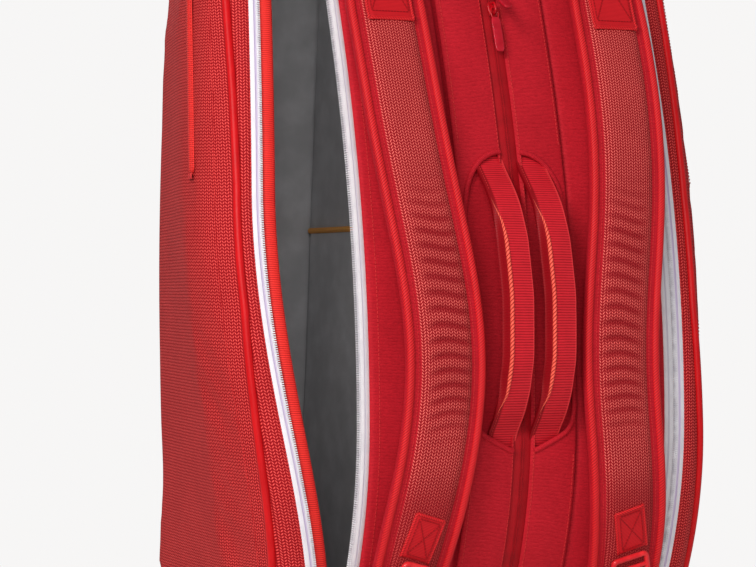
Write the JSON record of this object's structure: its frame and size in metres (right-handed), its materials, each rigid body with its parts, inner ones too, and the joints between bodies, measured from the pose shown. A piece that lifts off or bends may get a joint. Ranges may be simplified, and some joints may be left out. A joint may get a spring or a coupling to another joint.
{
  "type": "racket bag",
  "caption": "Tall soft racket bag with side compartments, one unzipped, a centre zip between folded grab handles, and padded shoulder straps.",
  "frame": {"origin": "middle of the bag's footprint, on the surface it stands on", "axes": "+Z along the bag from the racket-head end to the grip end; X across the compartments, +X away from the open one; the straps and grab handles face -Y"},
  "size_m": [0.4536, 0.3664, 0.76],
  "materials": {
    "knit": "matte knitted mesh with a raised herringbone",
    "weave": "matte ribbed plain weave",
    "webbing": "ribbed webbing, slight sheen",
    "piping": "satin-covered piping",
    "zip_tape": "white woven zip tape with moulded teeth",
    "red_tape": "red woven zip tape with a reversed coil",
    "lining": "dark grey coated lining",
    "pocket_edge": "woven edge binding",
    "plastic": "moulded plastic",
    "slider_metal": "painted die-cast metal"
  },
  "bodies": {
    "bag_body": {"base_panel": "weave", "top_panel": "weave", "back_panel": "weave", "back_lining": "lining", "left_divider": "lining", "right_divider": "lining", "left_inner_pocket": "lining", "left_inner_pocket_binding": "pocket_edge", "left_front_panel": "weave", "left_window_base": "weave", "left_gusset": "weave", "left_zip_body_half": "zip_tape", "right_front_panel": "weave", "right_window_base": "weave", "right_gusset": "weave", "right_zip_body_half": "zip_tape", "centre_zip": "red_tape", "left_adjuster_webbing": "webbing", "right_adjuster_webbing": "webbing"},
    "left_cover": {"left_flank_panel": "knit", "left_front_band": "knit", "left_piping": "piping", "left_zip_cover_half": "zip_tape", "left_zip_guard": "webbing", "left_cover_lining": "lining", "left_pocket_welt": "piping"},
    "right_cover": {"right_flank_panel": "knit", "right_front_band": "knit", "right_piping": "piping", "right_zip_cover_half": "zip_tape", "right_zip_guard": "webbing", "right_cover_lining": "lining", "right_pocket_welt": "piping"},
    "left_strap": {"left_strap_pad": "knit", "left_strap_upper_tab": "webbing", "left_strap_lower_tab": "webbing"},
    "left_buckle": {"left_ladder_lock": "plastic"},
    "left_grip": {"left_handle": "webbing"},
    "right_strap": {"right_strap_pad": "knit", "right_strap_upper_tab": "webbing", "right_strap_lower_tab": "webbing"},
    "right_buckle": {"right_ladder_lock": "plastic"},
    "right_grip": {"right_handle": "webbing"},
    "left_pocket_slider_body": {"left_pocket_slider": "slider_metal"},
    "left_pocket_pull_body": {"left_pocket_pull": "plastic"},
    "right_pocket_slider_body": {"right_pocket_slider": "slider_metal"},
    "right_pocket_pull_body": {"right_pocket_pull": "plastic"},
    "centre_low_slider_body": {"centre_low_slider": "slider_metal"},
    "centre_low_pull_body": {"centre_low_pull": "plastic"},
    "centre_high_slider_body": {"centre_high_slider": "slider_metal"},
    "centre_high_pull_body": {"centre_high_pull": "plastic"},
    "left_top_slider_body": {"left_top_slider": "slider_metal"},
    "left_top_pull_body": {"left_top_pull": "plastic"},
    "left_bottom_slider_body": {"left_bottom_slider": "slider_metal"},
    "left_bottom_pull_body": {"left_bottom_pull": "plastic"},
    "right_top_slider_body": {"right_top_slider": "slider_metal"},
    "right_top_pull_body": {"right_top_pull": "plastic"}
  },
  "joints": [
    {"name": "left_cover_swing", "type": "hinge", "parent": "bag_body", "child": "left_cover", "pos_m": [-0.13069, 0.19336, 0], "axis": [0, 0.0919, -0.9958], "range_deg": [-14.3, 15.5]},
    {"name": "right_cover_swing", "type": "hinge", "parent": "bag_body", "child": "right_cover", "pos_m": [0.18831, 0.19336, 0], "axis": [0, -0.0919, 0.9958], "range_deg": [0, 29.8]},
    {"name": "left_strap_lift", "type": "hinge", "parent": "bag_body", "child": "left_strap", "pos_m": [-0.07117, -0.08217, 0.6425], "axis": [-1, 0, 0], "range_deg": [0, 10]},
    {"name": "left_buckle_tilt", "type": "hinge", "parent": "left_strap", "child": "left_buckle", "pos_m": [-0.06623, -0.15466, 0.14408], "axis": [-1, 0, 0], "range_deg": [0, 60]},
    {"name": "left_grip_lean", "type": "hinge", "parent": "bag_body", "child": "left_grip", "pos_m": [0.01031, -0.15524, 0.24393], "axis": [0, -0.1052, -0.9945], "range_deg": [-4, 20]},
    {"name": "right_strap_lift", "type": "hinge", "parent": "bag_body", "child": "right_strap", "pos_m": [0.12878, -0.08217, 0.6425], "axis": [-1, 0, 0], "range_deg": [0, 10]},
    {"name": "right_buckle_tilt", "type": "hinge", "parent": "right_strap", "child": "right_buckle", "pos_m": [0.12385, -0.15466, 0.14408], "axis": [-1, 0, 0], "range_deg": [0, 60]},
    {"name": "right_grip_lean", "type": "hinge", "parent": "bag_body", "child": "right_grip", "pos_m": [0.04731, -0.15524, 0.24393], "axis": [0, 0.1052, 0.9945], "range_deg": [-4, 20]},
    {"name": "centre_low_slide", "type": "slide", "parent": "bag_body", "child": "centre_low_slider_body", "axis": [0, 0.3122, 0.95], "range_m": [-0.018, 0]},
    {"name": "centre_low_pull_swing", "type": "hinge", "parent": "centre_low_slider_body", "child": "centre_low_pull_body", "pos_m": [0.02881, -0.09951, 0.5795], "axis": [-1, 0, 0], "range_deg": [0, 20]},
    {"name": "centre_high_slide", "type": "slide", "parent": "bag_body", "child": "centre_high_slider_body", "axis": [0, 0.3122, 0.95], "range_m": [0, 0.12]},
    {"name": "centre_high_pull_swing", "type": "hinge", "parent": "centre_high_slider_body", "child": "centre_high_pull_body", "pos_m": [0.02881, -0.09359, 0.5975], "axis": [-1, 0, 0], "range_deg": [-22, 95]},
    {"name": "left_top_slide", "type": "slide", "parent": "bag_body", "child": "left_top_slider_body", "axis": [0, 0.3122, 0.95], "range_m": [-0.12, 0]},
    {"name": "left_top_pull_swing", "type": "hinge", "parent": "left_top_slider_body", "child": "left_top_pull_body", "pos_m": [-0.10819, -0.04649, 0.72162], "axis": [-1, 0, 0], "range_deg": [0, 130]},
    {"name": "left_bottom_slide", "type": "slide", "parent": "bag_body", "child": "left_bottom_slider_body", "axis": [0, -0.5162, 0.8565], "range_m": [0, 0.018]},
    {"name": "left_bottom_pull_swing", "type": "hinge", "parent": "left_bottom_slider_body", "child": "left_bottom_pull_body", "pos_m": [-0.10819, -0.09472, 0.06462], "axis": [-1, 0, 0], "range_deg": [0, 130]},
    {"name": "right_top_slide", "type": "slide", "parent": "bag_body", "child": "right_top_slider_body", "axis": [0, 0.3122, 0.95], "range_m": [-0.12, 0]},
    {"name": "right_top_pull_swing", "type": "hinge", "parent": "right_top_slider_body", "child": "right_top_pull_body", "pos_m": [0.16881, -0.04846, 0.71562], "axis": [-1, 0, 0], "range_deg": [0, 130]},
    {"name": "left_pocket_slide", "type": "slide", "parent": "left_cover", "child": "left_pocket_slider_body", "axis": [0.0917, 0.2723, 0.9578], "range_m": [-0.19, 0]},
    {"name": "left_pocket_pull_swing", "type": "hinge", "parent": "left_pocket_slider_body", "child": "left_pocket_pull_body", "pos_m": [-0.20117, 0.00119, 0.65323], "axis": [0.2298, 0.9301, -0.2864], "range_deg": [0, 150]},
    {"name": "right_pocket_slide", "type": "slide", "parent": "right_cover", "child": "right_pocket_slider_body", "axis": [0, 0.2838, 0.9589], "range_m": [-0.19, 0]},
    {"name": "right_pocket_pull_swing", "type": "hinge", "parent": "right_pocket_slider_body", "child": "right_pocket_pull_body", "pos_m": [0.22411, -0.01211, 0.652], "axis": [0, -0.9589, 0.2838], "range_deg": [0, 150]}
  ]
}
